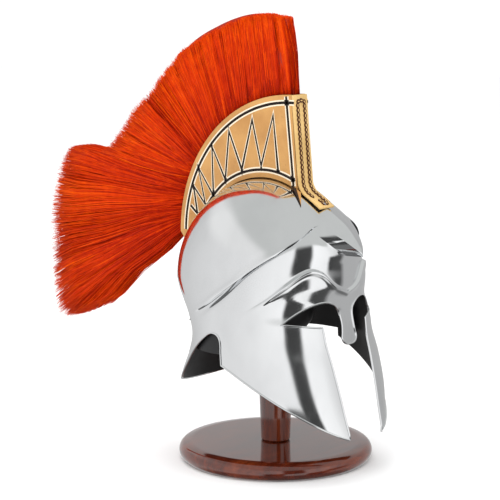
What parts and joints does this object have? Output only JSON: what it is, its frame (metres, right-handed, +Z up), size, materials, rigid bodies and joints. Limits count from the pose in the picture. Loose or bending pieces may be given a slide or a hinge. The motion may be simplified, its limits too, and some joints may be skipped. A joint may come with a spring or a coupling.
{
  "type": "crested helmet with stand",
  "caption": "Crested metal helmet with beaked brow, eye openings, nose guard, cheek guards and flared neck, on a round based wooden stand.",
  "frame": {"origin": "centre of the underside of the stand's base", "axes": "+Z up, the face looks along -Y, the wearer's left is +X"},
  "size_m": [0.2316, 0.5047, 0.5358],
  "materials": {
    "steel": "mirror polished",
    "leather": "tooled and waxed",
    "hair": "soft loose horsehair",
    "wood": "high gloss lacquer"
  },
  "bodies": {
    "root": {"helmet_shell": "steel", "crest_panel_left": "leather", "crest_panel_right": "leather", "crest_core": "leather", "crest_front_strip": "leather", "crest_flap_left": "leather", "crest_flap_right": "leather", "crest_rivet": "steel", "plume": "hair", "stand_base": "wood", "stand_post": "wood", "stand_head": "wood"}
  },
  "joints": []
}
